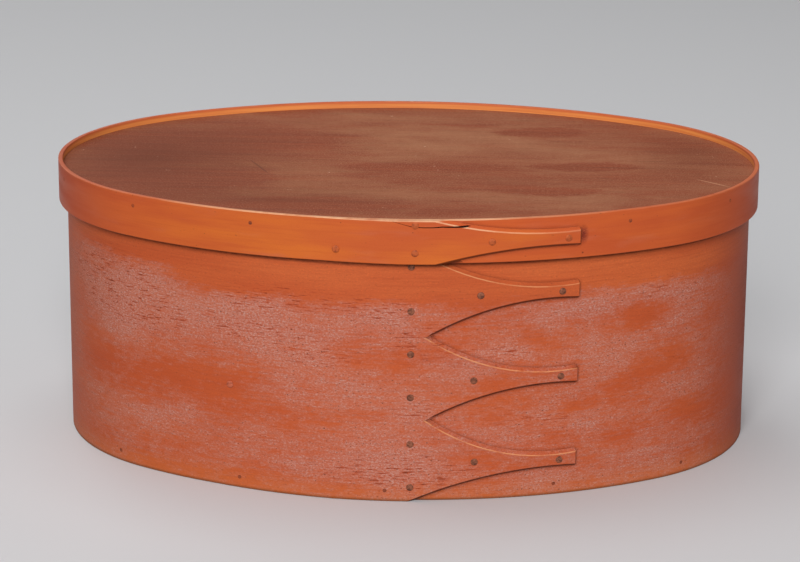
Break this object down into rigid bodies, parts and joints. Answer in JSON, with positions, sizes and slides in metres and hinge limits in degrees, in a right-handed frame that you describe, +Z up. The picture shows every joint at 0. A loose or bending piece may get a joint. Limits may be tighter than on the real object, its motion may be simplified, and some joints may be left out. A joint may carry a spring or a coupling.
{
  "type": "oval bentwood box",
  "caption": "Oval box of lapped and tacked bent-wood bands with let-in boards and a lid that lifts off.",
  "frame": {"origin": "centre of the bottom board's underside, where the box rests", "axes": "+X along the box's length, -Y towards the lapped front with the fingers, +Z up"},
  "size_m": [0.307, 0.2283, 0.1211],
  "materials": {
    "body_band": "worn chalky orange-red paint",
    "lid_band": "smooth orange paint, rubbed at the edge",
    "lid_board": "darkened dusty red-brown paint",
    "bottom_board": "bare aged pine",
    "tacks": "oxidised copper",
    "painted_tacks": "copper painted over",
    "points": "dark wooden point"
  },
  "bodies": {
    "box": {"body_band": "body_band", "bottom_board": "bottom_board", "body_lap_tacks": "tacks", "upper_finger_tacks": "tacks", "middle_finger_tacks": "tacks", "lower_finger_tacks": "tacks", "body_seam_tack": "painted_tacks", "bottom_board_points": "points"},
    "lid": {"lid_band": "lid_band", "lid_board": "lid_board", "lid_lap_tacks": "painted_tacks", "lid_finger_tacks": "painted_tacks", "lid_seam_tack": "painted_tacks", "lid_board_points": "points"}
  },
  "joints": [
    {"name": "lid_lift", "type": "slide", "parent": "box", "child": "lid", "axis": [0, 0, 1], "range_m": [0, 0.06]}
  ]
}
